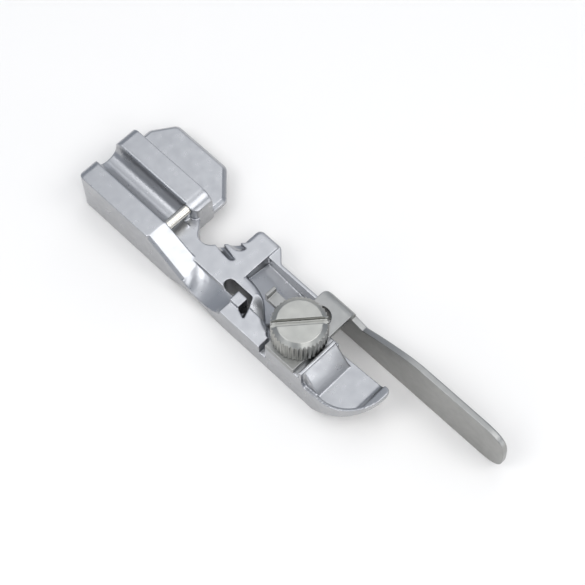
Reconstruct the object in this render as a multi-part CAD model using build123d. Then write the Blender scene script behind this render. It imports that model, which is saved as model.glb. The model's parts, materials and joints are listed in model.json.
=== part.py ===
from build123d import *
import math
import os

# Presser foot for an overlock sewing machine, with an adjustable fabric guide.
# Frame: +X is the operator's right, -Y the toe, +Y the rear, +Z up.
# The origin lies on the sole, straight under the middle of the clip-on crossbar.
# All lengths are in millimetres and all angles in degrees.

# Rails, groove and crossbar
GROOVE_WIDTH = 3.76
RAIL_LEFT_OUTER_X = -5.28
RAIL_RIGHT_OUTER_X = 5.35
RAIL_HEIGHT = 7.4
DECK_HEIGHT = 4.5
REAR_Y = 14.35
REAR_CORNER_RADIUS = 1.3
REAR_TOP_RADIUS = 1.2
REAR_BOTTOM_RADIUS = 1.2
GROOVE_LIP_RADIUS = 0.45
CROSSBAR_DIAMETER = 1.4
CROSSBAR_Z = 6.25
CROSSBAR_SEAT = 1.2

# Ramp, valley and sole arch on the left
RAMP_TOP_Y = 0.2
RAMP_SLOPE = 0.62
RAMP_FOOT_Y = -6.3
RAMP_CHAMFER = 0.45
VALLEY_LOW_Y = -9.8
VALLEY_LOW_Z = 1.84
VALLEY_FRONT_Z = 3.5
VALLEY_RIGHT_X = -2.3
RAMP_FOOT_RISE = 0.7
VALLEY_LOW_RISE = 2.2
VALLEY_FRONT_RISE = 0.9
ARCH_REAR_Y = -3.0
ARCH_FRONT_Y = -12.4
ARCH_RISE = 1.4
ARCH_RIGHT_X = -1.2

# Right rail nose and wing
NOSE_TOP_Y = 0.5
NOSE_FRONT_Y = -1.45
NOSE_DROP = 1.2
NOSE_CORNER_RADIUS = 1.0
NOSE_FOOT_RADIUS = 1.7
NOSE_WEB_THICKNESS = 1.4
WING_RIGHT_X = 11.6
WING_TOP_Z = 3.3
WING_BOTTOM_Z = 2.0
WING_REAR_Y = 14.6
WING_REAR_CORNER = 3.4
WING_SIDE_REAR_Y = 12.3
WING_FRONT_CUT = 3.8
WING_CORNER_RADIUS = 1.2
WING_EDGE = 0.55

# Notch and ear
NOTCH_X = 2.12
NOTCH_Y = -4.3
NOTCH_RADIUS = 1.72
NOTCH_REAR_ANGLE = 110.0
NOTCH_FRONT_ANGLE = 232.0
EAR_LEFT_X = 4.25
EAR_RIGHT_X = 7.55
EAR_REAR_Y = -8.45
EAR_FRONT_Y = -12.5
EAR_CORNER_RADIUS = 0.9
EAR_EDGE_RADIUS = 0.7

# Thread scoops beside the notch
SCOOP_LEFT_X = 1.8
SCOOP_LEFT_RADIUS = 0.95
SCOOP_LEFT_TURN = 12.0
SCOOP_RIGHT_X = 4.0
SCOOP_RIGHT_RADIUS = 1.6
SCOOP_RIGHT_TURN = 5.0
SCOOP_FRONT_Y = -9.7
SCOOP_TILT = 14.0
SCOOP_RAISE = 0.55
SCOOP_LENGTH = 4.0

# Needle slot, block, plate and stem
SLOT_LEFT_X = -2.3
SLOT_RIGHT_X = -0.62
SLOT_REAR_Y = -10.9
SLOT_FRONT_Y = -15.2
TAIL_LEFT_X = -3.8
TAIL_FRONT_Y = -16.6
TAIL_START_Z = 1.8
BLOCK_LEFT_X = -3.2
BLOCK_RIGHT_X = -1.45
BLOCK_REAR_Y = -13.35
BLOCK_FRONT_Y = -15.1
BLOCK_HEIGHT = 5.0
PLATE_REAR_Y = -13.5
PLATE_FRONT_Y = -21.0
PLATE_RIGHT_X = -2.05
PLATE_CORNER = 1.3
PLATE_CORNER_REACH = 1.7
STEM_CURVE = ((-0.95, -17.7), (0.55, -15.8), (1.05, -14.2))
STEM_SLOPE_Y = -15.2
STEM_SLOPE_ANGLE = 24.0

# Recess, rim and gap behind the seat
RECESS_REAR_Y = -12.35
RECESS_FRONT_Y = -21.2
RECESS_LEFT_X = 1.2
RECESS_RIGHT_X = 5.25
RECESS_LEFT_Z = 3.1
RECESS_RIGHT_Z = 2.2
RECESS_FRONT_Z = 1.0
STEM_EDGE_RADIUS = 0.9
RIM_HEIGHT = 4.0
RIM_THICKNESS = 0.6
RIM_EDGE_RADIUS = 0.35
RIM_FRONT_Y = -21.8
GAP_FLOOR_Z = 2.8

# Seat, front wall and toe
SEAT_HEIGHT = 6.2
SEAT_REAR_Y = -22.2
TOE_RIGHT_X = 1.9
WALL_REAR_Y = -28.25
WALL_THICKNESS = 0.5
WALL_HEIGHT = 7.9
WALL_RIGHT_X = 1.3
TOE_FRONT_Y = -38.0
TOE_CORNER_LENGTH = 6.0
TOE_CORNER_WIDTH = 5.6
TOE_RIGHT_CORNER = 0.7
TOE_REAR_Z = 4.35
TOE_FRONT_Z = 6.35
TOE_SAG = 0.2
DISH_REAR_Z = 4.1
DISH_FRONT_Z = 5.0
DISH_RIM = 0.45
DISH_LIP = 1.1
DISH_FILLET = 1.0
DISH_COVE = 1.2
SKI_START_Y = -30.9
SKI_MID_Y = -33.9
SKI_MID_Z = 2.5
SKI_TIP_Z = 5.1

# Guide bracket
SHEET = 0.9
PLATE_FRONT_EDGE_Y = -27.35
PLATE_LEFT_X = -5.28
FINGER_INNER_X = 5.73
BEND_RADIUS = 0.35
BEND_CORNER_RADIUS = 1.2
TONGUE_LEFT_X = -0.35
TONGUE_WIDTH = 1.7
TONGUE_REAR_Y = -17.3
TONGUE_LIP = 0.9
CROSS_SLOT_WIDTH = 3.3
CROSS_SLOT_RIGHT = 3.0
CROSS_SLOT_LEFT = 1.2
NECK_REAR_Z = 5.7
NECK_FRONT_Y = -29.3
NECK_FRONT_Z = 5.2
RISE_Y = -34.15
RISE_Z = 7.1
RISE_TANGENT = 0.5
FINGER_FULL_Y = -40.0
FINGER_HEIGHT = 8.25
TIP_START_Y = -49.6
TIP_Y = -54.0
TIP_Z = 4.2
TIP_HEEL_Y = -50.5
FINGER_EDGE_RADIUS = 0.25

# Thumb screw
SCREW_X = -1.03
SCREW_Y = -24.35
HEAD_DIAMETER = 7.7
HEAD_HEIGHT = 4.1
HEAD_CHAMFER = 0.8
HEAD_CHAMFER_DROP = 0.6
HEAD_FOOT_CHAMFER = 0.25
KNURL_COUNT = 40
KNURL_DEPTH = 0.28
DRIVER_SLOT_WIDTH = 0.75
DRIVER_SLOT_DEPTH = 1.3
DRIVER_SLOT_ANGLE = -41.0
SHANK_DIAMETER = 3.0
SHANK_LENGTH = 5.2
SHANK_TIP = 0.4
SHANK_CLEARANCE = 0.05
HOLE_SPARE = 0.5

# Small roundings and overlaps
EDGE_RADIUS = 0.2
PAST = 1.0

# Sizes worked out from the values above
GROOVE_RADIUS = GROOVE_WIDTH / 2
SHEET_TOP_Z = SEAT_HEIGHT + SHEET
FINGER_OUTER_X = FINGER_INNER_X + SHEET
WALL_FRONT_Y = WALL_REAR_Y - WALL_THICKNESS
HOLE_BOTTOM_Z = SHEET_TOP_Z - SHANK_LENGTH - HOLE_SPARE
RIM_OUTER_X = RECESS_RIGHT_X + RIM_THICKNESS


def box(x_min, x_max, y_min, y_max, z_min, z_max):
    """Box between two opposite corners."""
    solid = Box(x_max - x_min, y_max - y_min, z_max - z_min, align=(Align.MIN, Align.MIN, Align.MIN))
    return Pos(x_min, y_min, z_min) * solid


def side_solid(wire, x_min, x_max):
    """Closed wire of (y, z) points, extruded from x_min to x_max."""
    plane = Plane(origin=(x_min, 0, 0), x_dir=(0, 1, 0), z_dir=(1, 0, 0))
    return extrude(plane * make_face(wire), amount=x_max - x_min)


def plan_solid(wire, z_min, z_max):
    """Closed wire of (x, y) points, extruded from z_min to z_max."""
    return extrude(Pos(0, 0, z_min) * make_face(wire), amount=z_max - z_min)


def edges_at(shape, x=None, y=None, z=None, within=0.02):
    """Edges that lie wholly at the given places along the axes."""
    wanted = [(index, place) for index, place in enumerate((x, y, z)) if place is not None]
    found = []
    for edge in shape.edges():
        points = [tuple(edge @ share) for share in (0, 0.5, 1)]
        if all(abs(point[index] - place) < within for point in points for index, place in wanted):
            found.append(edge)
    return found


def corner_cut(corner_x, corner_y, radius, side_x, side_y):
    """Cutter that rounds an upright corner; the sides are 1 or -1 and point out of the solid."""
    height = 4 * RAIL_HEIGHT
    block = Pos(corner_x, corner_y, 0) * Box(2 * radius, 2 * radius, height)
    return block - Pos(corner_x - side_x * radius, corner_y - side_y * radius, 0) * Cylinder(radius, height)


def groove_cut():
    """Round-bottomed channel between the rails, open upward and to the rear."""
    floor_centre = DECK_HEIGHT + GROOVE_RADIUS
    front_y = RAMP_FOOT_Y
    length = REAR_Y + PAST - front_y
    channel = Pos(0, front_y, floor_centre) * Rot(-90, 0, 0) * Cylinder(
        GROOVE_RADIUS, length, align=(Align.CENTER, Align.CENTER, Align.MIN)
    )
    top = box(-GROOVE_RADIUS, GROOVE_RADIUS, front_y, REAR_Y + PAST, floor_centre, RAIL_HEIGHT + PAST)
    return channel + top


def lip_cut(side):
    """Cutter that rounds one upper lip of the groove; side is -1 on the left and 1 on the right."""
    length = REAR_Y + PAST - RAMP_TOP_Y
    width = 2 * GROOVE_LIP_RADIUS
    block = Pos(side * GROOVE_RADIUS, RAMP_TOP_Y, RAIL_HEIGHT) * Box(
        width, length, width, align=(Align.CENTER, Align.MIN, Align.CENTER)
    )
    centre = Pos(side * (GROOVE_RADIUS + GROOVE_LIP_RADIUS), RAMP_TOP_Y, RAIL_HEIGHT - GROOVE_LIP_RADIUS)
    return block - centre * Rot(-90, 0, 0) * Cylinder(
        GROOVE_LIP_RADIUS, length, align=(Align.CENTER, Align.CENTER, Align.MIN)
    )


def strip_profile(rise_share):
    """Side outline of the ramp and valley, raised towards the web by a share of the full rise."""
    foot_z = RAIL_HEIGHT - RAMP_SLOPE * (RAMP_TOP_Y - RAMP_FOOT_Y) + rise_share * RAMP_FOOT_RISE
    low_z = VALLEY_LOW_Z + rise_share * VALLEY_LOW_RISE
    front_z = VALLEY_FRONT_Z + rise_share * VALLEY_FRONT_RISE
    return Polyline(
        (PLATE_REAR_Y, front_z),
        (PLATE_REAR_Y, 0),
        (RAMP_TOP_Y, 0),
        (RAMP_TOP_Y, RAIL_HEIGHT),
        (RAMP_FOOT_Y, foot_z),
    ) + ThreePointArc((RAMP_FOOT_Y, foot_z), (VALLEY_LOW_Y, low_z), (PLATE_REAR_Y, front_z))


def side_face(wire, x):
    """Face from a closed wire of (y, z) points, standing at x."""
    return Plane(origin=(x, 0, 0), x_dir=(0, 1, 0), z_dir=(1, 0, 0)) * make_face(wire)


def left_strip():
    """Left rail, and the ramp and valley whose floor climbs from the outer side to the web."""
    outer_side = side_face(strip_profile(0), RAIL_LEFT_OUTER_X)
    web_side = side_face(strip_profile(1), VALLEY_RIGHT_X)
    strip = loft([outer_side, web_side], ruled=True)
    ramp_length = math.hypot(1, RAMP_SLOPE) * (RAMP_TOP_Y - RAMP_FOOT_Y)
    ramp_edge = Plane(
        origin=(RAIL_LEFT_OUTER_X, RAMP_TOP_Y, RAIL_HEIGHT), x_dir=(0, -1, -RAMP_SLOPE), z_dir=(-1, 0, 0)
    )
    bevel_side = RAMP_CHAMFER * math.sqrt(2)
    bevel = Rot(45, 0, 0) * Box(ramp_length, bevel_side, bevel_side)
    strip = strip - ramp_edge * Pos(ramp_length / 2, 0, 0) * bevel
    inner = side_solid(strip_profile(1), VALLEY_RIGHT_X, -GROOVE_RADIUS)
    inner = inner & box(VALLEY_RIGHT_X, -GROOVE_RADIUS, RAMP_FOOT_Y, RAMP_TOP_Y, 0, RAIL_HEIGHT)
    rail = box(RAIL_LEFT_OUTER_X, 0, RAMP_TOP_Y, REAR_Y, 0, RAIL_HEIGHT)
    return strip + inner + rail


def right_rail():
    """Right rail, with its top rolling down to the nose."""
    nose_z = RAIL_HEIGHT - NOSE_DROP
    middle = ((NOSE_TOP_Y + NOSE_FRONT_Y) / 2 - 0.15, RAIL_HEIGHT - NOSE_DROP * 0.3)
    bow = NOSE_FOOT_RADIUS * (1 - math.cos(math.radians(45)))
    wire = (
        Polyline(
            (NOSE_FRONT_Y + NOSE_FOOT_RADIUS, 0),
            (REAR_Y, 0),
            (REAR_Y, RAIL_HEIGHT),
            (NOSE_TOP_Y, RAIL_HEIGHT),
        )
        + ThreePointArc((NOSE_TOP_Y, RAIL_HEIGHT), middle, (NOSE_FRONT_Y, nose_z))
        + Line((NOSE_FRONT_Y, nose_z), (NOSE_FRONT_Y, NOSE_FOOT_RADIUS))
        + ThreePointArc(
            (NOSE_FRONT_Y, NOSE_FOOT_RADIUS),
            (NOSE_FRONT_Y + bow, bow),
            (NOSE_FRONT_Y + NOSE_FOOT_RADIUS, 0),
        )
    )
    solid = side_solid(wire, 0, RAIL_RIGHT_OUTER_X) - groove_cut()
    return solid - corner_cut(GROOVE_RADIUS, NOSE_FRONT_Y, NOSE_CORNER_RADIUS, -1, -1)


def wing():
    """Thin wing to the right of the rail, with its two outer corners cut."""
    root_x = RAIL_RIGHT_OUTER_X - PAST
    wire = Polyline(
        (root_x, WING_REAR_Y),
        (WING_RIGHT_X - WING_REAR_CORNER, WING_REAR_Y),
        (WING_RIGHT_X, WING_SIDE_REAR_Y),
        (WING_RIGHT_X, NOSE_FRONT_Y + WING_FRONT_CUT),
        (WING_RIGHT_X - WING_FRONT_CUT, NOSE_FRONT_Y),
        (root_x, NOSE_FRONT_Y),
        close=True,
    )
    solid = plan_solid(wire, WING_BOTTOM_Z, WING_TOP_Z)
    corners = [edge for edge in solid.edges().filter_by(Axis.Z) if edge.center().X > RAIL_RIGHT_OUTER_X]
    solid = fillet(corners, WING_CORNER_RADIUS)
    top = solid.faces().sort_by(Axis.Z)[-1]
    rim = [edge for edge in top.edges() if edge.center().X > RAIL_RIGHT_OUTER_X]
    return chamfer(rim, WING_EDGE)


def notch_edge():
    """Rounded inner end of the notch and its slanted front side, in plan."""
    rear = (
        NOTCH_X + NOTCH_RADIUS * math.cos(math.radians(NOTCH_REAR_ANGLE)),
        NOTCH_Y + NOTCH_RADIUS * math.sin(math.radians(NOTCH_REAR_ANGLE)),
    )
    middle = (NOTCH_X - NOTCH_RADIUS, NOTCH_Y)
    front = (
        NOTCH_X + NOTCH_RADIUS * math.cos(math.radians(NOTCH_FRONT_ANGLE)),
        NOTCH_Y + NOTCH_RADIUS * math.sin(math.radians(NOTCH_FRONT_ANGLE)),
    )
    return rear, middle, front


def deck():
    """Level web that carries the ear, the slot, the raised plate and the rim."""
    rear, middle, front = notch_edge()
    wire = (
        Polyline(
            front,
            (EAR_LEFT_X, EAR_REAR_Y),
            (EAR_RIGHT_X, EAR_REAR_Y),
            (EAR_RIGHT_X, EAR_FRONT_Y),
            (RIM_OUTER_X, EAR_FRONT_Y - (EAR_RIGHT_X - RIM_OUTER_X)),
            (RIM_OUTER_X, RIM_FRONT_Y),
            (TOE_RIGHT_X, RIM_FRONT_Y),
            (TOE_RIGHT_X, PLATE_FRONT_Y),
            (RAIL_LEFT_OUTER_X, PLATE_FRONT_Y),
            (RAIL_LEFT_OUTER_X, PLATE_REAR_Y),
            (VALLEY_RIGHT_X, PLATE_REAR_Y),
            (VALLEY_RIGHT_X, 0),
            (GROOVE_RADIUS, 0),
            (GROOVE_RADIUS, NOSE_FRONT_Y),
            rear,
        )
        + ThreePointArc(rear, middle, front)
    )
    solid = plan_solid(wire, 0, DECK_HEIGHT)
    nose_right_x = GROOVE_RADIUS + NOSE_CORNER_RADIUS
    nose_web = Polyline(
        (0, 0), (nose_right_x, 0), (nose_right_x, NOSE_FRONT_Y), rear, (0, rear[1]), close=True
    )
    solid = solid + plan_solid(nose_web, DECK_HEIGHT - NOSE_WEB_THICKNESS, DECK_HEIGHT)
    outer = [
        edge
        for edge in solid.edges().filter_by(Axis.Z)
        if edge.center().X > EAR_RIGHT_X - 0.1 and edge.center().Y > EAR_FRONT_Y - 0.1
    ]
    solid = fillet(outer, EAR_CORNER_RADIUS)
    ear_top = [
        edge
        for edge in edges_at(solid, z=DECK_HEIGHT)
        if edge.center().X > EAR_LEFT_X + 0.1 and edge.center().Y > EAR_FRONT_Y - 1.5
    ]
    return fillet(ear_top, EAR_EDGE_RADIUS)


def slot_cut():
    """Needle slot with a round rear end, and the short slope up out of it in front of the block."""
    radius = (SLOT_RIGHT_X - SLOT_LEFT_X) / 2
    centre_x = (SLOT_RIGHT_X + SLOT_LEFT_X) / 2
    rear_y = SLOT_REAR_Y - radius
    through = Polyline(
        (SLOT_RIGHT_X, rear_y),
        (SLOT_RIGHT_X, SLOT_FRONT_Y),
        (SLOT_LEFT_X, BLOCK_FRONT_Y - (SLOT_RIGHT_X - SLOT_LEFT_X) / 2),
        (SLOT_LEFT_X, rear_y),
    ) + ThreePointArc((SLOT_LEFT_X, rear_y), (centre_x, SLOT_REAR_Y), (SLOT_RIGHT_X, rear_y))
    hole = plan_solid(through, -PAST, DECK_HEIGHT + PAST)
    slope_wire = Polyline(
        (SLOT_FRONT_Y, TAIL_START_Z),
        (TAIL_FRONT_Y, DECK_HEIGHT),
        (TAIL_FRONT_Y, DECK_HEIGHT + PAST),
        (SLOT_FRONT_Y + PAST, DECK_HEIGHT + PAST),
        (SLOT_FRONT_Y + PAST, TAIL_START_Z),
        close=True,
    )
    tail_plan = Polyline(
        (BLOCK_LEFT_X, BLOCK_FRONT_Y),
        (SLOT_RIGHT_X, SLOT_FRONT_Y),
        (PLATE_RIGHT_X, SLOT_FRONT_Y - (SLOT_RIGHT_X - PLATE_RIGHT_X) / 2),
        (TAIL_LEFT_X, TAIL_FRONT_Y),
        close=True,
    )
    slope = side_solid(slope_wire, TAIL_LEFT_X, SLOT_RIGHT_X) & plan_solid(tail_plan, 0, DECK_HEIGHT + PAST)
    return hole + slope


def recess_cut():
    """Recess between the ear, the stem, the rim and the seat, with a slanted floor."""
    corner_y = PLATE_FRONT_Y + PLATE_CORNER_REACH
    straight = Polyline(
        (RECESS_LEFT_X, RECESS_REAR_Y),
        (RECESS_RIGHT_X, RECESS_REAR_Y),
        (RECESS_RIGHT_X, RECESS_FRONT_Y),
        (PLATE_RIGHT_X - PLATE_CORNER, RECESS_FRONT_Y),
        (PLATE_RIGHT_X - PLATE_CORNER, corner_y - PLATE_CORNER),
        (PLATE_RIGHT_X, corner_y),
    )
    stem_side = Spline((PLATE_RIGHT_X, corner_y), *STEM_CURVE, (RECESS_LEFT_X, RECESS_REAR_Y))
    solid = plan_solid(straight + stem_side, 0, DECK_HEIGHT + PAST)
    across = Vector(RECESS_RIGHT_X - RECESS_LEFT_X, 0, RECESS_RIGHT_Z - RECESS_LEFT_Z)
    along = Vector(0, RECESS_REAR_Y - RECESS_FRONT_Y, RECESS_RIGHT_Z - RECESS_FRONT_Z)
    floor = Plane(origin=(RECESS_LEFT_X, RECESS_REAR_Y, RECESS_LEFT_Z), z_dir=across.cross(along))
    return split(solid, bisect_by=floor, keep=Keep.TOP)


def scoop(right_x, radius, turn):
    """Groove that falls to the notch, with a round left side and an upright right side."""
    barrel = Sphere(radius) + Rot(-90, 0, 0) * Cylinder(
        radius, SCOOP_LENGTH, align=(Align.CENTER, Align.CENTER, Align.MIN)
    )
    left_half = barrel & box(-radius, 0, -radius, SCOOP_LENGTH, -radius, radius)
    tool = left_half + box(-radius, 0, 0, SCOOP_LENGTH, 0, radius)
    height = DECK_HEIGHT + SCOOP_RAISE * radius
    return Pos(right_x, SCOOP_FRONT_Y + radius, height) * Rot(0, 0, -turn) * Rot(-SCOOP_TILT, 0, 0) * tool


def toe_plan(inset, overhang):
    """Plan outline of the toe, drawn in on the left and the front, run past on the right."""
    left_x = RAIL_LEFT_OUTER_X + inset
    right_x = TOE_RIGHT_X + overhang
    rear_y = WALL_FRONT_Y + PAST
    front_y = TOE_FRONT_Y + inset
    corner_y = TOE_FRONT_Y + TOE_CORNER_LENGTH
    corner_x = RAIL_LEFT_OUTER_X + TOE_CORNER_WIDTH
    middle = (
        corner_x - (TOE_CORNER_WIDTH - inset) * math.cos(math.radians(45)),
        corner_y - (TOE_CORNER_LENGTH - inset) * math.sin(math.radians(45)),
    )
    straight = Polyline(
        (corner_x, front_y), (right_x, front_y), (right_x, rear_y), (left_x, rear_y), (left_x, corner_y)
    )
    return straight + ThreePointArc((left_x, corner_y), middle, (corner_x, front_y))


def toe():
    """Toe with a ski-shaped underside and a dish behind its front lip."""
    rear_y = WALL_FRONT_Y + PAST
    top_middle = ((WALL_FRONT_Y + TOE_FRONT_Y) / 2, (TOE_REAR_Z + TOE_FRONT_Z) / 2 - TOE_SAG)
    wire = (
        Polyline((SKI_START_Y, 0), (rear_y, 0), (rear_y, TOE_REAR_Z), (WALL_FRONT_Y, TOE_REAR_Z))
        + ThreePointArc((WALL_FRONT_Y, TOE_REAR_Z), top_middle, (TOE_FRONT_Y, TOE_FRONT_Z))
        + Line((TOE_FRONT_Y, TOE_FRONT_Z), (TOE_FRONT_Y, SKI_TIP_Z))
        + ThreePointArc((TOE_FRONT_Y, SKI_TIP_Z), (SKI_MID_Y, SKI_MID_Z), (SKI_START_Y, 0))
    )
    solid = side_solid(wire, RAIL_LEFT_OUTER_X, TOE_RIGHT_X)
    solid = solid & plan_solid(toe_plan(0, 0), 0, WALL_HEIGHT)
    dish_front_y = TOE_FRONT_Y + DISH_LIP
    dish_wire = Polyline(
        (WALL_FRONT_Y, DISH_REAR_Z),
        (dish_front_y, DISH_FRONT_Z),
        (dish_front_y, WALL_HEIGHT),
        (WALL_FRONT_Y, WALL_HEIGHT),
        close=True,
    )
    dish = side_solid(dish_wire, RAIL_LEFT_OUTER_X - PAST, TOE_RIGHT_X + PAST)
    dish = dish & plan_solid(toe_plan(DISH_RIM, PAST), 0, WALL_HEIGHT)
    foot_of_lip = [
        edge for edge in edges_at(dish, y=dish_front_y) if edge.center().Z < WALL_HEIGHT - PAST and
        abs((edge @ 1 - edge @ 0).X) > 1
    ]
    dish = fillet(foot_of_lip, DISH_FILLET)
    slope = (DISH_FRONT_Z - DISH_REAR_Z) / (WALL_FRONT_Y - dish_front_y)
    foot_y = WALL_FRONT_Y - DISH_COVE
    foot_z = DISH_REAR_Z + DISH_COVE * slope
    bow = DISH_COVE * (1 - math.cos(math.radians(45)))
    cove_wire = Polyline((foot_y, foot_z), (foot_y, 0), (WALL_FRONT_Y + PAST / 2, 0),
                         (WALL_FRONT_Y + PAST / 2, foot_z + DISH_COVE), (WALL_FRONT_Y, foot_z + DISH_COVE)
                         ) + ThreePointArc((WALL_FRONT_Y, foot_z + DISH_COVE),
                                           (WALL_FRONT_Y - bow, foot_z + bow), (foot_y, foot_z))
    cove = side_solid(cove_wire, RAIL_LEFT_OUTER_X, WALL_RIGHT_X)
    return solid - dish + cove - corner_cut(TOE_RIGHT_X, TOE_FRONT_Y, TOE_RIGHT_CORNER, 1, -1)


def foot_body():
    """Whole casting."""
    rear = left_strip() + right_rail() + wing()
    rear_block = rear - groove_cut()
    rear_block = fillet(edges_at(rear_block, y=REAR_Y, z=RAIL_HEIGHT), REAR_TOP_RADIUS)
    rear_block = fillet(edges_at(rear_block, y=REAR_Y, z=0), REAR_BOTTOM_RADIUS)
    rear_block = rear_block - lip_cut(-1) - lip_cut(1)
    outer = []
    for side_x in (RAIL_LEFT_OUTER_X, RAIL_RIGHT_OUTER_X):
        outer += edges_at(rear_block, x=side_x, z=RAIL_HEIGHT)
    rear_block = fillet(outer, EDGE_RADIUS)
    rear_block = rear_block - corner_cut(RAIL_LEFT_OUTER_X, REAR_Y, REAR_CORNER_RADIUS, -1, 1)
    body = rear_block + deck()
    seat = box(RAIL_LEFT_OUTER_X, TOE_RIGHT_X, WALL_FRONT_Y, SEAT_REAR_Y, 0, SEAT_HEIGHT)
    bridge = box(RAIL_LEFT_OUTER_X, TOE_RIGHT_X, SEAT_REAR_Y, PLATE_FRONT_Y, 0, GAP_FLOOR_Z)
    wall = box(RAIL_LEFT_OUTER_X, WALL_RIGHT_X, WALL_FRONT_Y, WALL_REAR_Y, 0, WALL_HEIGHT)
    body = body + seat + bridge + wall + toe()
    body = body - slot_cut() - recess_cut()
    stem_edge = [
        edge
        for edge in edges_at(body, z=DECK_HEIGHT)
        if edge.geom_type == GeomType.BSPLINE and PLATE_FRONT_Y < edge.center().Y < RECESS_REAR_Y
    ]
    body = fillet(stem_edge, STEM_EDGE_RADIUS)
    body = body - scoop(SCOOP_LEFT_X, SCOOP_LEFT_RADIUS, SCOOP_LEFT_TURN)
    body = body - scoop(SCOOP_RIGHT_X, SCOOP_RIGHT_RADIUS, SCOOP_RIGHT_TURN)
    body = body - box(RECESS_RIGHT_X - PAST, EAR_RIGHT_X + PAST, RIM_FRONT_Y, RECESS_REAR_Y,
                      RIM_HEIGHT, DECK_HEIGHT + PAST)
    body = fillet(edges_at(body, x=RIM_OUTER_X, z=RIM_HEIGHT), RIM_EDGE_RADIUS)
    slope_drop = (STEM_SLOPE_Y - PLATE_FRONT_Y) * math.tan(math.radians(STEM_SLOPE_ANGLE))
    stem_wire = Polyline(
        (STEM_SLOPE_Y, DECK_HEIGHT),
        (PLATE_FRONT_Y, DECK_HEIGHT - slope_drop),
        (PLATE_FRONT_Y, DECK_HEIGHT + PAST),
        (STEM_SLOPE_Y, DECK_HEIGHT + PAST),
        close=True,
    )
    body = body - side_solid(stem_wire, PLATE_RIGHT_X, RECESS_RIGHT_X)
    body = body + box(BLOCK_LEFT_X, BLOCK_RIGHT_X, BLOCK_FRONT_Y, BLOCK_REAR_Y, 0, BLOCK_HEIGHT)
    arch_wire = ThreePointArc(
        (ARCH_REAR_Y, 0), ((ARCH_REAR_Y + ARCH_FRONT_Y) / 2, ARCH_RISE), (ARCH_FRONT_Y, 0)
    ) + Line((ARCH_FRONT_Y, 0), (ARCH_REAR_Y, 0))
    body = body - side_solid(arch_wire, RAIL_LEFT_OUTER_X - PAST, ARCH_RIGHT_X)
    pin_hole = Pos(0, 0, CROSSBAR_Z) * Rot(0, 90, 0) * Cylinder(
        CROSSBAR_DIAMETER / 2, GROOVE_WIDTH + 2 * CROSSBAR_SEAT
    )
    hole_length = SEAT_HEIGHT - HOLE_BOTTOM_Z + PAST
    screw_hole = Pos(SCREW_X, SCREW_Y, HOLE_BOTTOM_Z) * Cylinder(
        SHANK_DIAMETER / 2 + SHANK_CLEARANCE, hole_length, align=(Align.CENTER, Align.CENTER, Align.MIN)
    )
    return body - pin_hole - screw_hole


def crossbar_pin():
    """Round pin across the groove, seated in both rails."""
    return Pos(0, 0, CROSSBAR_Z) * Rot(0, 90, 0) * Cylinder(
        CROSSBAR_DIAMETER / 2, GROOVE_WIDTH + 2 * CROSSBAR_SEAT
    )


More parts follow.
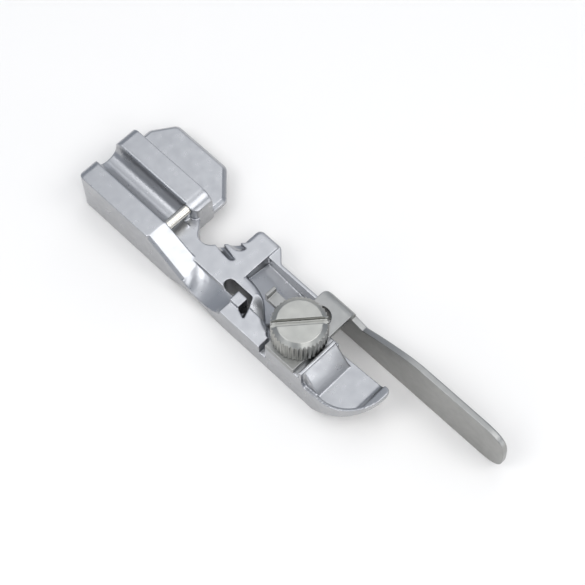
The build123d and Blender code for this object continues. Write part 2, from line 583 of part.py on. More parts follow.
def guide_bracket():
    """Folded sheet: seat plate, tongue, bend and guide finger."""
    section = Polyline(
        (PLATE_LEFT_X, SEAT_HEIGHT),
        (PLATE_LEFT_X, SHEET_TOP_Z),
        (FINGER_OUTER_X, SHEET_TOP_Z),
        (FINGER_OUTER_X, 0),
        (FINGER_INNER_X, 0),
        (FINGER_INNER_X, SEAT_HEIGHT),
        close=True,
    )
    plane = Plane(origin=(0, PLATE_FRONT_EDGE_Y, 0), x_dir=(1, 0, 0), z_dir=(0, -1, 0))
    fold = extrude(plane * make_face(section), amount=PLATE_FRONT_EDGE_Y - SEAT_REAR_Y)
    inner = [
        edge
        for edge in fold.edges().filter_by(Axis.Y)
        if abs(edge.center().X - FINGER_INNER_X) < 0.01 and abs(edge.center().Z - SEAT_HEIGHT) < 0.01
    ]
    fold = fillet(inner, BEND_RADIUS)
    outer = [
        edge
        for edge in fold.edges().filter_by(Axis.Y)
        if abs(edge.center().X - FINGER_OUTER_X) < 0.01 and abs(edge.center().Z - SHEET_TOP_Z) < 0.01
    ]
    fold = fillet(outer, BEND_RADIUS + SHEET)
    back = Polyline(
        (TIP_HEEL_Y, 0),
        (PLATE_FRONT_EDGE_Y + PAST, 0),
        (PLATE_FRONT_EDGE_Y + PAST, NECK_REAR_Z),
        (PLATE_FRONT_EDGE_Y, NECK_REAR_Z),
        (NECK_FRONT_Y, NECK_FRONT_Z),
    )
    rise = Spline(
        (NECK_FRONT_Y, NECK_FRONT_Z),
        (RISE_Y, RISE_Z),
        (FINGER_FULL_Y, FINGER_HEIGHT),
        tangents=[(-1, RISE_TANGENT), (-1, 0)],
    )
    crest = Line((FINGER_FULL_Y, FINGER_HEIGHT), (TIP_START_Y, FINGER_HEIGHT))
    tip = Spline(
        (TIP_START_Y, FINGER_HEIGHT),
        (TIP_Y, TIP_Z),
        (TIP_HEEL_Y, 0),
        tangents=[(-1, 0), (1, 0)],
    )
    finger_wire = back + rise + crest + tip
    finger = side_solid(finger_wire, FINGER_INNER_X, FINGER_OUTER_X)
    upper_edges = [
        edge for edge in edges_at(finger, x=FINGER_OUTER_X) if edge.center().Y < NECK_FRONT_Y - 1 and
        edge.center().Z > 1
    ]
    finger = fillet(upper_edges, FINGER_EDGE_RADIUS)
    bracket = fold + finger - corner_cut(FINGER_OUTER_X, SEAT_REAR_Y, BEND_CORNER_RADIUS, 1, 1)
    tongue = box(TONGUE_LEFT_X, TONGUE_LEFT_X + TONGUE_WIDTH, SEAT_REAR_Y - PAST, TONGUE_REAR_Y,
                 SEAT_HEIGHT, SHEET_TOP_Z)
    lip = box(TONGUE_LEFT_X, TONGUE_LEFT_X + TONGUE_WIDTH, TONGUE_REAR_Y - 0.5, TONGUE_REAR_Y,
              SEAT_HEIGHT, SHEET_TOP_Z + TONGUE_LIP)
    bracket = bracket + tongue + lip
    slot_radius = CROSS_SLOT_WIDTH / 2
    slot = box(SCREW_X - CROSS_SLOT_LEFT, SCREW_X + CROSS_SLOT_RIGHT, SCREW_Y - slot_radius,
               SCREW_Y + slot_radius, SEAT_HEIGHT - PAST, SHEET_TOP_Z + PAST)
    for end_x in (SCREW_X - CROSS_SLOT_LEFT, SCREW_X + CROSS_SLOT_RIGHT):
        slot = slot + Pos(end_x, SCREW_Y, SEAT_HEIGHT) * Cylinder(slot_radius, 4 * SHEET)
    return bracket - slot


def thumb_screw():
    """Knurled head with a driver slot, and its shank."""
    head_radius = HEAD_DIAMETER / 2
    shank_radius = SHANK_DIAMETER / 2
    top = HEAD_HEIGHT
    profile = Polyline(
        (0, -SHANK_LENGTH),
        (shank_radius - SHANK_TIP, -SHANK_LENGTH),
        (shank_radius, -SHANK_LENGTH + SHANK_TIP),
        (shank_radius, 0),
        (head_radius - HEAD_FOOT_CHAMFER, 0),
        (head_radius, HEAD_FOOT_CHAMFER),
        (head_radius, top - HEAD_CHAMFER_DROP),
        (head_radius - HEAD_CHAMFER, top),
        (0, top),
        close=True,
    )
    solid = revolve(Plane.XZ * make_face(profile), Axis.Z)
    slot = Rot(0, 0, DRIVER_SLOT_ANGLE) * box(
        -HEAD_DIAMETER, HEAD_DIAMETER, -DRIVER_SLOT_WIDTH / 2, DRIVER_SLOT_WIDTH / 2,
        top - DRIVER_SLOT_DEPTH, top + PAST
    )
    side = KNURL_DEPTH * math.sqrt(2)
    groove = Rot(0, 0, 45) * Box(side, side, 2 * top + PAST)
    pitch = 360 / KNURL_COUNT
    knurl = [Rot(0, 0, index * pitch) * Pos(head_radius, 0, 0) * groove for index in range(KNURL_COUNT)]
    return Pos(SCREW_X, SCREW_Y, SHEET_TOP_Z) * (solid - slot - knurl)


def main():
    """Write one file for each piece."""
    os.makedirs("parts", exist_ok=True)
    pieces = {
        "foot_body": foot_body(),
        "crossbar_pin": crossbar_pin(),
        "guide_bracket": guide_bracket(),
        "thumb_screw": thumb_screw(),
    }
    for name, shape in pieces.items():
        export_step(shape, f"parts/{name}.step")
        print(name, round(shape.volume, 1), shape.is_valid)


main()
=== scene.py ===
"""Looks of an overlock presser foot with an adjustable guide.

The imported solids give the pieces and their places. This script softens their edges as casting, folding
and turning do, adds the slope of the dish, lengthens the cross slot of the bracket, turns and knurls the
clamp screw, gives each piece its finish, and sets up the studio.
Lengths named in millimetres are turned into metres with MM.
"""

import json
import logging
import math
from dataclasses import dataclass, field
from enum import Enum

import bmesh
import bpy
from mathutils import Matrix, Vector

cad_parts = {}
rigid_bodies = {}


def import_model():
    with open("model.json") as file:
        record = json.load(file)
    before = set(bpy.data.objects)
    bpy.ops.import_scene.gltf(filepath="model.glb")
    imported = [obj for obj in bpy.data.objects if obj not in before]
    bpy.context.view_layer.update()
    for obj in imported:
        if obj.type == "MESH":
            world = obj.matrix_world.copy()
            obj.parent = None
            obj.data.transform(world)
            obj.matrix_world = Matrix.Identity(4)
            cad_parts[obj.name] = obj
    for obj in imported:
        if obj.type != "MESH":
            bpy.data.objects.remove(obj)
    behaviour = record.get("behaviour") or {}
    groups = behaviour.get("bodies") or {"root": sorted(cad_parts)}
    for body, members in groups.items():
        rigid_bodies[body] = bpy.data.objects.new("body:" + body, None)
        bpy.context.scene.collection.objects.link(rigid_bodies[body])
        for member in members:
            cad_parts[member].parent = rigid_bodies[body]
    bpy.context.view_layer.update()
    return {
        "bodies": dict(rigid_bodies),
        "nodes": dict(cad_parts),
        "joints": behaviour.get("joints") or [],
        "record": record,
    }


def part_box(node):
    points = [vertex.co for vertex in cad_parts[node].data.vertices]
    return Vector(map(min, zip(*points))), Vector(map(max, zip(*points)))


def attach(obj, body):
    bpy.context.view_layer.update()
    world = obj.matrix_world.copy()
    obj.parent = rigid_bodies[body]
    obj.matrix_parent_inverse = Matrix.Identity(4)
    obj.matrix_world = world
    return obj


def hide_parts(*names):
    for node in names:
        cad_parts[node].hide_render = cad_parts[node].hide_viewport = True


MM = 0.001

log = logging.getLogger("presser_foot")


class Node(Enum):
    """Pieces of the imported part, by node name."""

    CASTING = "foot_body"
    CROSSBAR = "crossbar_pin"
    BRACKET = "guide_bracket"
    SCREW = "thumb_screw"


class Carrier(Enum):
    """Rigid bodies that pieces ride on."""

    FOOT = "foot"
    GUIDE = "guide"
    SCREW = "screw"


class Grain(Enum):
    """Direction in which a surface was worked."""

    NONE = "none"
    ALONG_X = "along_x"
    ALONG_SLOT = "along_slot"


DRIVER_SLOT_TURN_DEG = -41.0
DOUBLES_MM = 0.0005
PLAIN_SCALE = 1.0
BRUSHED_SCALE = 0.05
MIX_COLOUR_A = 6
MIX_COLOUR_B = 7
MIX_COLOUR_RESULT = 2

Given = bpy.types.NodeSocket | float | int


@dataclass(frozen=True)
class MetalFinish:
    """Bare or plated metal.

    Attributes:
        name: Name of the material.
        colour: Linear red, green and blue of the metal.
        dull_colour: The same where the surface is a little duller.
        roughness: Middle roughness.
        roughness_spread: How far the roughness wanders up and down.
        mottle_mm: Size of the soft blotches.
        grit_mm: Size of the fine surface grain.
        grit_depth_mm: Height of the fine surface grain.
        grain: Direction of brushing, if any.
        mottle_detail: Rounds of ever finer noise in the blotches.
        mottle_low: Value of the noise that gives the lowest roughness.
        mottle_high: Value of the noise that gives the highest roughness.
        grit_detail: Rounds of ever finer noise in the grain.
    """

    name: str
    colour: tuple[float, float, float]
    dull_colour: tuple[float, float, float]
    roughness: float
    roughness_spread: float
    mottle_mm: float
    grit_mm: float
    grit_depth_mm: float
    grain: Grain = Grain.NONE
    mottle_detail: float = 4.0
    mottle_low: float = 0.3
    mottle_high: float = 0.7
    grit_detail: float = 2.0

    def lay_of_grain(self) -> tuple[float, tuple[float, float, float]]:
        """Return the turn about Z and the scale along each axis of the grain."""
        brushed = (BRUSHED_SCALE, PLAIN_SCALE, PLAIN_SCALE)
        if self.grain is Grain.ALONG_X:
            return 0.0, brushed
        if self.grain is Grain.ALONG_SLOT:
            return math.radians(-DRIVER_SLOT_TURN_DEG), brushed
        return 0.0, (PLAIN_SCALE, PLAIN_SCALE, PLAIN_SCALE)

    def material(self) -> bpy.types.Material:
        """Build the material.

        Returns:
            A metal whose colour, roughness and fine bump follow object coordinates.
        """
        material = bpy.data.materials.new(self.name)
        material.use_nodes = True
        nodes = material.node_tree.nodes
        links = material.node_tree.links
        shader = nodes["Principled BSDF"]
        shader.inputs["Metallic"].default_value = 1.0
        points = nodes.new("ShaderNodeTexCoord")
        mottle = nodes.new("ShaderNodeTexNoise")
        mottle.inputs["Scale"].default_value = 1.0 / (self.mottle_mm * MM)
        mottle.inputs["Detail"].default_value = self.mottle_detail
        links.new(points.outputs["Object"], mottle.inputs["Vector"])
        spread = nodes.new("ShaderNodeMapRange")
        spread.inputs["From Min"].default_value = self.mottle_low
        spread.inputs["From Max"].default_value = self.mottle_high
        spread.inputs["To Min"].default_value = self.roughness - self.roughness_spread
        spread.inputs["To Max"].default_value = self.roughness + self.roughness_spread
        links.new(mottle.outputs["Fac"], spread.inputs["Value"])
        links.new(spread.outputs["Result"], shader.inputs["Roughness"])
        tone = nodes.new("ShaderNodeMix")
        tone.data_type = "RGBA"
        tone.inputs[MIX_COLOUR_A].default_value = (*self.colour, 1.0)
        tone.inputs[MIX_COLOUR_B].default_value = (*self.dull_colour, 1.0)
        links.new(mottle.outputs["Fac"], tone.inputs["Factor"])
        links.new(tone.outputs[MIX_COLOUR_RESULT], shader.inputs["Base Color"])
        turn = nodes.new("ShaderNodeMapping")
        angle, scale = self.lay_of_grain()
        turn.inputs["Rotation"].default_value = (0.0, 0.0, angle)
        turn.inputs["Scale"].default_value = scale
        links.new(points.outputs["Object"], turn.inputs["Vector"])
        grit = nodes.new("ShaderNodeTexNoise")
        grit.inputs["Scale"].default_value = 1.0 / (self.grit_mm * MM)
        grit.inputs["Detail"].default_value = self.grit_detail
        links.new(turn.outputs["Vector"], grit.inputs["Vector"])
        bump = nodes.new("ShaderNodeBump")
        bump.inputs["Distance"].default_value = self.grit_depth_mm * MM
        bump.inputs["Strength"].default_value = 1.0
        links.new(grit.outputs["Fac"], bump.inputs["Height"])
        links.new(bump.outputs["Normal"], shader.inputs["Normal"])
        return material


SATIN_CASTING = MetalFinish(
    "satin_plated_casting", (0.46, 0.465, 0.475), (0.41, 0.415, 0.43), 0.31, 0.05, 1.2, 0.22, 0.003
)
SATIN_SHEET = MetalFinish(
    "satin_plated_sheet", (0.37, 0.37, 0.36), (0.33, 0.33, 0.32), 0.40, 0.05, 1.2, 0.22, 0.0025
)
TURNED_STEEL = MetalFinish(
    "nickel_turned_steel", (0.39, 0.39, 0.365), (0.35, 0.35, 0.33), 0.32, 0.04, 1.2, 0.12, 0.0014,
    Grain.ALONG_SLOT,
)
GROUND_PIN = MetalFinish(
    "ground_steel_pin", (0.74, 0.71, 0.65), (0.68, 0.65, 0.59), 0.27, 0.03, 1.0, 0.2, 0.0006,
    Grain.ALONG_X,
)


@dataclass(frozen=True)
class Softening:
    """How sharp corners of a solid are rounded off.

    Attributes:
        voxel_mm: Fineness of the skin that is laid round the solid.
        passes: Rounds of smoothing, which set the radius of the corners.
        faces_kept: Share of the faces that stays after flat places are thinned.
        pull: How far each round moves a point towards its neighbours.
    """

    voxel_mm: float
    passes: int
    faces_kept: float
    pull: float = 0.5

    def apply(self, mesh: bpy.types.Mesh, name: str) -> bpy.types.Object:
        """Turn a closed mesh into one with rounded corners.

        Args:
            mesh: Closed mesh in metres, which is used up.
            name: Name of the new object.

        Returns:
            An object at the origin with smooth faces and no modifier left.
        """
        mesh.transform(Matrix.Scale(1.0 / MM, 4))
        rough = bpy.data.objects.new(name + "_rough", mesh)
        bpy.context.scene.collection.objects.link(rough)
        skin = rough.modifiers.new("skin", "REMESH")
        skin.mode = "VOXEL"
        skin.voxel_size = self.voxel_mm
        soft = rough.modifiers.new("soft", "SMOOTH")
        soft.factor = self.pull
        soft.iterations = self.passes
        thin = rough.modifiers.new("thin", "DECIMATE")
        thin.ratio = self.faces_kept
        graph = bpy.context.evaluated_depsgraph_get()
        result = bpy.data.meshes.new_from_object(rough.evaluated_get(graph))
        bpy.data.objects.remove(rough)
        bpy.data.meshes.remove(mesh)
        result.transform(Matrix.Scale(MM, 4))
        result.shade_smooth()
        result.name = name
        piece = bpy.data.objects.new(name, result)
        bpy.context.scene.collection.objects.link(piece)
        return piece


def solid_copy(node: bpy.types.Object) -> bpy.types.Mesh:
    """Copy a node's mesh and join its loose triangles.

    Args:
        node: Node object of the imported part, which stays as it is.

    Returns:
        A closed mesh in metres.
    """
    mesh = node.data.copy()
    work = bmesh.new()
    work.from_mesh(mesh)
    bmesh.ops.remove_doubles(work, verts=work.verts, dist=DOUBLES_MM * MM)
    work.to_mesh(mesh)
    work.free()
    mesh.materials.clear()
    return mesh


def side_prism(outline: list[tuple[float, float]], left: float, right: float) -> bpy.types.Mesh:
    """Make a closed prism from an outline that is seen from the side.

    Args:
        outline: Corners as place along Y and height, in millimetres.
        left: Its left end, in millimetres.
        right: Its right end, in millimetres.

    Returns:
        The mesh in metres.
    """
    mesh = bpy.data.meshes.new("prism")
    work = bmesh.new()
    ends = [[work.verts.new((x * MM, y * MM, z * MM)) for y, z in outline] for x in (left, right)]
    for corners in ends:
        work.faces.new(corners)
    count = len(outline)
    for index in range(count):
        after = (index + 1) % count
        work.faces.new((ends[0][index], ends[0][after], ends[1][after], ends[1][index]))
    bmesh.ops.recalc_face_normals(work, faces=work.faces)
    work.to_mesh(mesh)
    work.free()
    return mesh


def joined(first: bpy.types.Mesh, second: bpy.types.Mesh) -> bpy.types.Mesh:
    """Put two closed meshes together, to be covered by one skin later.

    Args:
        first: Mesh that takes the other one in.
        second: Mesh that is used up.

    Returns:
        The first mesh.
    """
    work = bmesh.new()
    work.from_mesh(first)
    work.from_mesh(second)
    work.to_mesh(first)
    work.free()
    bpy.data.meshes.remove(second)
    return first


def dress(piece: bpy.types.Object, finish: MetalFinish) -> None:
    """Give the whole piece one finish.

    Args:
        piece: Object with a mesh.
        finish: Finish to put on it.
    """
    piece.data.materials.clear()
    piece.data.materials.append(finish.material())


def place(piece: bpy.types.Object, node: Node, carrier: Carrier) -> None:
    """Put a finished piece on its body, in the place of its node.

    Args:
        piece: Finished piece.
        node: Node that it stands for, which is hidden.
        carrier: Body that it rides on.
    """
    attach(piece, carrier.value)
    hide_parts(node.value)


@dataclass
class Casting:
    """Body of the foot, cast in one piece.

    Attributes:
        finish: Metal that it shows.
        softening: How its corners are rounded.
        wall_front_y_mm: Front face of the wall behind the dish.
        slope_left_x_mm: Left end of the slope from the dish up to that wall.
        slope_right_x_mm: Right end of the slope.
        slope_top_z_mm: Height at which the slope leaves the wall.
        slope_run_mm: How far the slope reaches out from the wall.
        slope_foot_z_mm: Height of its foot, just under the floor of the dish.
        slope_root_mm: How deep the filling under the slope is sunk in.
    """

    finish: MetalFinish = SATIN_CASTING
    softening: Softening = Softening(0.085, 7, 0.28)
    wall_front_y_mm: float = -28.75
    slope_left_x_mm: float = -4.7
    slope_right_x_mm: float = 1.25
    slope_top_z_mm: float = 7.75
    slope_run_mm: float = 3.0
    slope_foot_z_mm: float = 4.1
    slope_root_mm: float = 0.3

    def dish_slope(self) -> bpy.types.Mesh:
        """Make the filling that leads from the dish up to the wall.

        Returns:
            A closed mesh in metres.
        """
        front = self.wall_front_y_mm - self.slope_run_mm
        back = self.wall_front_y_mm + self.slope_root_mm
        bottom = self.slope_foot_z_mm - self.slope_root_mm
        outline = [
            (self.wall_front_y_mm, self.slope_top_z_mm),
            (front, self.slope_foot_z_mm),
            (front, bottom),
            (back, bottom),
            (back, self.slope_top_z_mm),
        ]
        return side_prism(outline, self.slope_left_x_mm, self.slope_right_x_mm)

    def build(self, frame: dict) -> bpy.types.Object:
        """Build and dress the body.


        Returns:
            The finished piece.
        """
        mesh = joined(solid_copy(frame["nodes"][Node.CASTING.value]), self.dish_slope())
        piece = self.softening.apply(mesh, "cast_body")
        dress(piece, self.finish)
        place(piece, Node.CASTING, Carrier.FOOT)
        return piece


@dataclass
class Crossbar:
    """Round pin across the groove.

    Attributes:
        finish: Metal that it shows.
    """

    finish: MetalFinish = GROUND_PIN

    def build(self, frame: dict) -> bpy.types.Object:
        """Dress the pin's own node.


        Returns:
            The node object.
        """
        pin = frame["nodes"][Node.CROSSBAR.value]
        pin.material_slots[0].material = self.finish.material()
        return pin


def subtract(mesh: bpy.types.Mesh, cutter: bpy.types.Mesh) -> bpy.types.Mesh:
    """Cut one closed mesh out of another.

    Args:
        mesh: Mesh that is cut, which is used up.
        cutter: Mesh of the hole, which is used up.

    Returns:
        The cut mesh.
    """
    kept = bpy.data.objects.new("kept", mesh)
    hole = bpy.data.objects.new("hole", cutter)
    for thing in (kept, hole):
        bpy.context.scene.collection.objects.link(thing)
    cut = kept.modifiers.new("cut", "BOOLEAN")
    cut.operation = "DIFFERENCE"
    cut.solver = "EXACT"
    cut.object = hole
    graph = bpy.context.evaluated_depsgraph_get()
    result = bpy.data.meshes.new_from_object(kept.evaluated_get(graph))
    for thing in (kept, hole):
        bpy.data.objects.remove(thing)
    for used in (mesh, cutter):
        bpy.data.meshes.remove(used)
    return result


def upright_drum(radius: float, height: float, centre: Vector, sides: int) -> bpy.types.Mesh:
    """Make a closed upright cylinder.

    Args:
        radius: Its radius, in metres.
        height: Its height, in metres.
        centre: Its middle, in metres.
        sides: Number of its sides.

    Returns:
        The mesh.
    """
    mesh = bpy.data.meshes.new("drum")
    work = bmesh.new()
    bmesh.ops.create_cone(
        work, cap_ends=True, segments=sides, radius1=radius, radius2=radius, depth=height,
    )
    bmesh.ops.translate(work, verts=work.verts, vec=centre)
    work.to_mesh(mesh)
    work.free()
    return mesh


@dataclass
class Bracket:
    """Folded sheet with the seat plate, the tongue and the long finger.

    Attributes:
        finish: Metal that it shows.
        softening: How its corners are rounded.
        slot_radius_mm: Radius of the round end of the cross slot.
        slot_end_mm: From the clamp screw to the centre of the slot's right end.
        cutter_height_mm: Height of the drum that cuts the slot's end.
        cutter_sides: Number of sides of that drum.
    """

    finish: MetalFinish = SATIN_SHEET
    softening: Softening = Softening(0.06, 5, 0.3)
    slot_radius_mm: float = 1.65
    slot_end_mm: float = 3.6
    cutter_height_mm: float = 12.0
    cutter_sides: int = 64

    def build(self, frame: dict) -> bpy.types.Object:
        """Build and dress the bracket.


        Returns:
            The finished piece.
        """
        mesh = solid_copy(frame["nodes"][Node.BRACKET.value])
        low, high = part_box(Node.SCREW.value)
        slot_end = (Vector(low) + Vector(high)) / 2 + Vector((self.slot_end_mm * MM, 0.0, 0.0))
        cutter = upright_drum(
            self.slot_radius_mm * MM, self.cutter_height_mm * MM, slot_end, self.cutter_sides,
        )
        mesh = subtract(mesh, cutter)
        piece = self.softening.apply(mesh, "folded_bracket")
        dress(piece, self.finish)
        place(piece, Node.BRACKET, Carrier.GUIDE)
        return piece


@dataclass
class TreeDraft:
    """Geometry Nodes tree while it is laid out.

    Attributes:
        tree: The tree.
    """

    tree: bpy.types.NodeTree

    def feed(self, socket: bpy.types.NodeSocket, value: Given) -> None:
        """Link another socket to an input, or set a number on it."""
        if isinstance(value, bpy.types.NodeSocket):
            self.tree.links.new(value, socket)
        else:
            socket.default_value = value

    def add(self, kind: str, **given: Given) -> bpy.types.Node:
        """Add a node and feed its inputs.

        Args:
            kind: Type of the node.
            given: What goes into each input, by the input's name without blanks.

        Returns:
            The node.
        """
        node = self.tree.nodes.new(kind)
        for socket in node.inputs:
            value = given.get(socket.name.replace(" ", ""))
            if value is not None:
                self.feed(socket, value)
        return node

    def maths(self, operation: str, first: Given, second: Given) -> bpy.types.NodeSocket:
        """Return the result of a sum on two sockets or numbers."""
        node = self.tree.nodes.new("ShaderNodeMath")
        node.operation = operation
        self.feed(node.inputs[0], first)
        self.feed(node.inputs[1], second)
        return node.outputs[0]

    def vector(self, x: Given, y: Given, z: Given) -> bpy.types.NodeSocket:
        """Return a vector of three sockets or numbers."""
        return self.add("ShaderNodeCombineXYZ", X=x, Y=y, Z=z).outputs[0]

    def minus(self, body: bpy.types.NodeSocket, cutter: bpy.types.NodeSocket) -> bpy.types.NodeSocket:
        """Return a body with a cutter taken out of it."""
        node = self.tree.nodes.new("GeometryNodeMeshBoolean")
        node.operation = "DIFFERENCE"
        self.feed(node.inputs["Mesh 1"], body)
        self.feed(node.inputs["Mesh 2"], cutter)
        return node.outputs["Mesh"]


@dataclass
class ClampScrew:
    """Turned screw with a bevelled, knurled head and a driver slot.

    Attributes:
        finish: Metal that it shows.
        softening: How its corners are rounded.
        teeth: Number of teeth round the head.
        tooth_depth_mm: Depth of the grooves between the teeth.
        bevel_out_mm: Width of the bevel round the top.
        bevel_down_mm: Height of the bevel round the top.
        foot_chamfer_mm: Size of the chamfer round the foot of the head.
        head_height_mm: Height of the head.
        shank_radius_mm: Radius of the shank.
        slot_width_mm: Width of the driver slot.
        slot_depth_mm: Depth of the driver slot.
        sides: Number of steps in which the blank is turned.
        groove_sides: Number of sides of the cutter between two teeth.
        cutter_reach: Length of the slot's cutter, in radii of the head.
    """

    finish: MetalFinish = TURNED_STEEL
    softening: Softening = Softening(0.06, 3, 0.55)
    teeth: int = 40
    tooth_depth_mm: float = 0.28
    bevel_out_mm: float = 0.8
    bevel_down_mm: float = 0.6
    foot_chamfer_mm: float = 0.25
    head_height_mm: float = 4.1
    shank_radius_mm: float = 1.5
    slot_width_mm: float = 0.9
    slot_depth_mm: float = 0.8
    sides: int = 160
    groove_sides: int = 4
    cutter_reach: float = 3.0

    def blank(self, radius: float, top: float, tip: float) -> bpy.types.Mesh:
        """Turn the plain head and shank about the Z axis.

        Args:
            radius: Radius of the head, in millimetres.
            top: Height of its top.
            tip: Height of the shank's end.

        Returns:
            A closed mesh in millimetres.
        """
        foot = top - self.head_height_mm
        chamfer = self.foot_chamfer_mm
        outline = [
            (0.0, tip),
            (self.shank_radius_mm - chamfer, tip),
            (self.shank_radius_mm, tip + chamfer),
            (self.shank_radius_mm, foot),
            (radius - chamfer, foot),
            (radius, foot + chamfer),
            (radius, top - self.bevel_down_mm),
            (radius - self.bevel_out_mm, top),
            (0.0, top),
        ]
        mesh = bpy.data.meshes.new("screw_blank")
        work = bmesh.new()
        corners = [work.verts.new((out, 0.0, height)) for out, height in outline]
        edges = [work.edges.new(pair) for pair in zip(corners, corners[1:])]
        bmesh.ops.spin(
            work, geom=corners + edges, cent=(0.0, 0.0, 0.0), axis=(0.0, 0.0, 1.0),
            angle=math.tau, steps=self.sides, use_merge=True,
        )
        bmesh.ops.remove_doubles(work, verts=work.verts, dist=DOUBLES_MM)
        bmesh.ops.recalc_face_normals(work, faces=work.faces)
        work.to_mesh(mesh)
        work.free()
        return mesh

    def knurl_sockets(self, tree: bpy.types.NodeTree) -> None:
        """Give the tree its named inputs and its output."""
        face = tree.interface
        face.new_socket("Blank", in_out="INPUT", socket_type="NodeSocketGeometry")
        face.new_socket("Teeth", in_out="INPUT", socket_type="NodeSocketInt")
        lengths = ("Rim Radius", "Tooth Depth", "Head Height", "Head Middle", "Slot Width", "Slot Depth")
        for name in (*lengths, "Slot Turn"):
            face.new_socket(name, in_out="INPUT", socket_type="NodeSocketFloat")
        face.new_socket("Finish", in_out="INPUT", socket_type="NodeSocketMaterial")
        face.new_socket("Screw", in_out="OUTPUT", socket_type="NodeSocketGeometry")

    def grooves(self, draft: TreeDraft, given: bpy.types.NodeOutputs) -> bpy.types.NodeSocket:
        """Lay out the ring of cutters between the teeth.

        Args:
            draft: Tree that is laid out.
            given: Inputs of the tree.

        Returns:
            The socket that gives the cutters.
        """
        ring = draft.add("GeometryNodeMeshCircle", Vertices=given["Teeth"], Radius=given["Rim Radius"])
        through = draft.maths("MULTIPLY", given["Head Height"], 2.0)
        groove = draft.add(
            "GeometryNodeMeshCylinder",
            Vertices=self.groove_sides, Radius=given["Tooth Depth"], Depth=through,
        )
        index = draft.add("GeometryNodeInputIndex")
        step = draft.maths("DIVIDE", math.tau, given["Teeth"])
        turn = draft.vector(0.0, 0.0, draft.maths("MULTIPLY", index.outputs[0], step))
        spread = draft.add(
            "GeometryNodeInstanceOnPoints",
            Points=ring.outputs["Mesh"], Instance=groove.outputs["Mesh"], Rotation=turn,
        )
        cutters = draft.add("GeometryNodeRealizeInstances", Geometry=spread.outputs["Instances"])
        raised = draft.add(
            "GeometryNodeTransform",
            Geometry=cutters.outputs["Geometry"], Translation=draft.vector(0.0, 0.0, given["Head Middle"]),
        )
        return raised.outputs["Geometry"]

    def driver_slot(self, draft: TreeDraft, given: bpy.types.NodeOutputs) -> bpy.types.NodeSocket:
        """Lay out the cutter of the driver slot, a bar whose middle lies at the top of the head.

        Args:
            draft: Tree that is laid out.
            given: Inputs of the tree.

        Returns:
            The socket that gives the cutter.
        """
        length = draft.maths("MULTIPLY", given["Rim Radius"], self.cutter_reach)
        height = draft.maths("MULTIPLY", given["Slot Depth"], 2.0)
        bar = draft.add("GeometryNodeMeshCube", Size=draft.vector(length, given["Slot Width"], height))
        half_head = draft.maths("MULTIPLY", given["Head Height"], 0.5)
        top = draft.maths("ADD", given["Head Middle"], half_head)
        laid = draft.add(
            "GeometryNodeTransform",
            Geometry=bar.outputs["Mesh"],
            Translation=draft.vector(0.0, 0.0, top),
            Rotation=draft.vector(0.0, 0.0, given["Slot Turn"]),
        )
        return laid.outputs["Geometry"]

    def knurl_tree(self) -> bpy.types.NodeTree:
        """Lay out the nodes that cut the teeth and the driver slot.

        Returns:
            A tree whose inputs are the sizes of the knurl and the slot.
        """
        tree = bpy.data.node_groups.new("knurled_head", "GeometryNodeTree")
        self.knurl_sockets(tree)
        draft = TreeDraft(tree)
        given = draft.add("NodeGroupInput").outputs
        knurled = draft.minus(given["Blank"], self.grooves(draft, given))
        slotted = draft.minus(knurled, self.driver_slot(draft, given))
        whole = draft.add("GeometryNodeRealizeInstances", Geometry=slotted)
        dressed = draft.add(
            "GeometryNodeSetMaterial", Geometry=whole.outputs["Geometry"], Material=given["Finish"],
        )
        draft.add("NodeGroupOutput", Screw=dressed.outputs["Geometry"])
        return tree

    def cut(self, blank: bpy.types.Mesh, radius: float, top: float) -> bpy.types.Mesh:
        """Cut the teeth and the slot into the blank.

        Args:
            blank: Turned blank in millimetres, which is used up.
            radius: Radius of the head.
            top: Height of its top.

        Returns:
            A plain closed mesh in millimetres.
        """
        holder = bpy.data.objects.new("screw_blank", blank)
        bpy.context.scene.collection.objects.link(holder)
        tree = self.knurl_tree()
        knurl = holder.modifiers.new("knurl", "NODES")
        knurl.node_group = tree
        sizes = {
            "Teeth": self.teeth,
            "Rim Radius": radius,
            "Tooth Depth": self.tooth_depth_mm,
            "Head Height": self.head_height_mm,
            "Head Middle": top - self.head_height_mm / 2,
            "Slot Width": self.slot_width_mm,
            "Slot Depth": self.slot_depth_mm,
            "Slot Turn": math.radians(DRIVER_SLOT_TURN_DEG),
            "Finish": self.finish.material(),
        }
        for socket in tree.interface.items_tree:
            if socket.in_out == "INPUT" and socket.name in sizes:
                knurl[socket.identifier] = sizes[socket.name]
        graph = bpy.context.evaluated_depsgraph_get()
        mesh = bpy.data.meshes.new_from_object(holder.evaluated_get(graph))
        holder.modifiers.remove(knurl)
        bpy.data.objects.remove(holder)
        bpy.data.meshes.remove(blank)
        return mesh

    def build(self, frame: dict) -> bpy.types.Object:
        """Build and dress the screw.


        Returns:
            The finished piece.
        """
        low, high = (Vector(corner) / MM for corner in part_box(Node.SCREW.value))
        radius = (high.x - low.x) / 2
        blank = self.blank(radius, high.z, low.z)
        mesh = self.cut(blank, radius, high.z)
        middle = (low + high) / 2
        mesh.transform(Matrix.Translation((middle.x, middle.y, 0.0)))
        mesh.transform(Matrix.Scale(MM, 4))
        piece = self.softening.apply(mesh, "knurled_screw")
        dress(piece, self.finish)
        place(piece, Node.SCREW, Carrier.SCREW)
        return piece


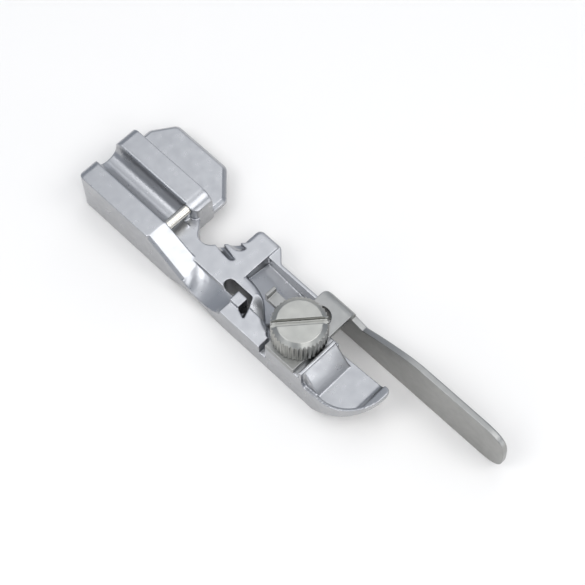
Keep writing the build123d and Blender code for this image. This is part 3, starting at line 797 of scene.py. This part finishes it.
@dataclass(frozen=True)
class Lamp:
    """Soft square lamp that points at the object.

    Attributes:
        name: Its name.
        azimuth_deg: Where it hangs, round the upright axis from the operator's right.
        elevation_deg: How high it hangs.
        distance_mm: How far away it hangs.
        size_mm: Side of its face.
        glow: How bright its face is, where 1 is white.
    """

    name: str
    azimuth_deg: float
    elevation_deg: float
    distance_mm: float
    size_mm: float
    glow: float

    def hang(self, aim: Vector) -> bpy.types.Object:
        """Hang the lamp.

        Args:
            aim: Point that it shines at, in metres.

        Returns:
            The lamp object.
        """
        data = bpy.data.lights.new(self.name, "AREA")
        data.shape = "SQUARE"
        data.size = self.size_mm * MM
        data.energy = self.glow * math.pi * data.size ** 2
        lamp = bpy.data.objects.new(self.name, data)
        turn = math.radians(self.azimuth_deg)
        rise = math.radians(self.elevation_deg)
        way = Vector((math.cos(turn) * math.cos(rise), math.sin(turn) * math.cos(rise), math.sin(rise)))
        lamp.location = aim + way * self.distance_mm * MM
        lamp.rotation_mode = "QUATERNION"
        lamp.rotation_quaternion = way.to_track_quat("Z", "Y")
        bpy.context.scene.collection.objects.link(lamp)
        return lamp


@dataclass
class Studio:
    """Floor, surroundings, lamps and camera.

    Attributes:
        azimuth_deg: Direction of the view round the upright axis.
        elevation_deg: Height of the view above the floor.
        distance_mm: From the camera to the point that it looks at.
        aim_mm: The point on the floor that it looks at.
        focal_px: Focal length in pixels of the photograph's frame.
        frame_px: Width of that frame.
        sensor_mm: Width of the camera's sensor.
        sight_mm: Nearest and farthest distance that the camera sees.
        floor_mm: Side of the floor.
        floor_drop_mm: How far the floor lies under the sole.
        floor_colour: Linear colour of the floor.
        floor_roughness: Roughness of the floor.
        floor_gloss: Strength of the floor's gloss.
        low_light: Strength of the surroundings at the horizon and below.
        high_light: Their strength overhead.
        air_rise: Heights between which the one changes into the other, as sines.
        air_colour: Colour of the surroundings.
        lamps: Soft lamps round the object.
    """

    azimuth_deg: float = -45.4
    elevation_deg: float = 64.0
    distance_mm: float = 207.41
    aim_mm: tuple[float, float, float] = (5.127, -17.003, 0.0)
    focal_px: float = 1512.0
    frame_px: float = 585.0
    sensor_mm: float = 36.0
    sight_mm: tuple[float, float] = (5.0, 10000.0)
    floor_mm: float = 3000.0
    floor_drop_mm: float = 0.02
    floor_colour: tuple[float, float, float] = (0.88, 0.86, 0.83)
    floor_roughness: float = 0.9
    floor_gloss: float = 0.1
    low_light: float = 0.50
    high_light: float = 0.42
    air_rise: tuple[float, float] = (0.35, 0.85)
    air_colour: tuple[float, float, float] = (0.88, 0.95, 1.08)
    lamps: list[Lamp] = field(default_factory=lambda: [
        Lamp("overhead", 0.0, 88.0, 420.0, 260.0, 1.15),
        Lamp("high_behind", 45.0, 60.0, 420.0, 200.0, 1.0),
        Lamp("front_right", -60.0, 53.0, 420.0, 210.0, 2.7),
        Lamp("front", -112.0, 52.0, 420.0, 210.0, 2.7),
        Lamp("front_low", -72.0, 10.0, 420.0, 160.0, 2.0),
        Lamp("left", 158.0, 54.0, 420.0, 180.0, 3.6),
        Lamp("left_low", -172.0, 27.0, 420.0, 130.0, 2.2),
        Lamp("behind_left", 112.0, 62.0, 420.0, 180.0, 0.7),
        Lamp("right", 20.0, 33.0, 420.0, 180.0, 0.9),
    ])

    def camera(self) -> bpy.types.Object:
        """Set the camera at the photograph's angle and return it."""
        turn = math.radians(self.azimuth_deg)
        rise = math.radians(self.elevation_deg)
        back = Vector((math.sin(turn) * math.cos(rise), -math.cos(turn) * math.cos(rise), math.sin(rise)))
        data = bpy.data.cameras.new("camera")
        data.sensor_width = self.sensor_mm
        data.lens = self.focal_px / self.frame_px * data.sensor_width
        data.clip_start, data.clip_end = (distance * MM for distance in self.sight_mm)
        camera = bpy.data.objects.new("camera", data)
        camera.location = (Vector(self.aim_mm) + back * self.distance_mm) * MM
        right = Vector((math.cos(turn), math.sin(turn), 0.0))
        up = back.cross(right)
        camera.rotation_mode = "QUATERNION"
        camera.rotation_quaternion = Matrix((right, up, back)).transposed().to_quaternion()
        bpy.context.scene.collection.objects.link(camera)
        bpy.context.scene.camera = camera
        return camera

    def floor(self) -> bpy.types.Object:
        """Lay the pale floor and return it."""
        half = self.floor_mm * MM / 2
        height = -self.floor_drop_mm * MM
        mesh = bpy.data.meshes.new("floor")
        sides = ((-half, -half), (half, -half), (half, half), (-half, half))
        corners = [(x, y, height) for x, y in sides]
        mesh.from_pydata(corners, [], [(0, 1, 2, 3)])
        material = bpy.data.materials.new("pale_floor")
        material.use_nodes = True
        shader = material.node_tree.nodes["Principled BSDF"]
        shader.inputs["Base Color"].default_value = (*self.floor_colour, 1.0)
        shader.inputs["Roughness"].default_value = self.floor_roughness
        shader.inputs["Specular IOR Level"].default_value = self.floor_gloss
        mesh.materials.append(material)
        floor = bpy.data.objects.new("floor", mesh)
        bpy.context.scene.collection.objects.link(floor)
        return floor

    def surroundings(self) -> None:
        """Light the object from all round."""
        world = bpy.data.worlds.new("studio")
        world.use_nodes = True
        bpy.context.scene.world = world
        nodes = world.node_tree.nodes
        links = world.node_tree.links
        glow = nodes["Background"]
        points = nodes.new("ShaderNodeTexCoord")
        split = nodes.new("ShaderNodeSeparateXYZ")
        links.new(points.outputs["Generated"], split.inputs["Vector"])
        ramp = nodes.new("ShaderNodeMapRange")
        ramp.interpolation_type = "SMOOTHSTEP"
        ramp.inputs["From Min"].default_value = self.air_rise[0]
        ramp.inputs["From Max"].default_value = self.air_rise[1]
        ramp.inputs["To Min"].default_value = self.low_light
        ramp.inputs["To Max"].default_value = self.high_light
        links.new(split.outputs["Z"], ramp.inputs["Value"])
        links.new(ramp.outputs["Result"], glow.inputs["Strength"])
        glow.inputs["Color"].default_value = (*self.air_colour, 1.0)

    def build(self) -> None:
        """Set up the whole studio."""
        bpy.context.scene.view_settings.view_transform = "Standard"
        self.floor()
        self.surroundings()
        for lamp in self.lamps:
            lamp.hang(Vector(self.aim_mm) * MM)
        self.camera()


def main() -> None:
    """Build every piece and report it."""
    logging.basicConfig(level=logging.INFO, format="%(name)s: %(message)s")
    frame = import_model()
    for part in (Casting(), Crossbar(), Bracket(), ClampScrew()):
        piece = part.build(frame)
        log.info("%s: %d faces", piece.name, len(piece.data.polygons))
    Studio().build()


if __name__ == "__main__":
    main()
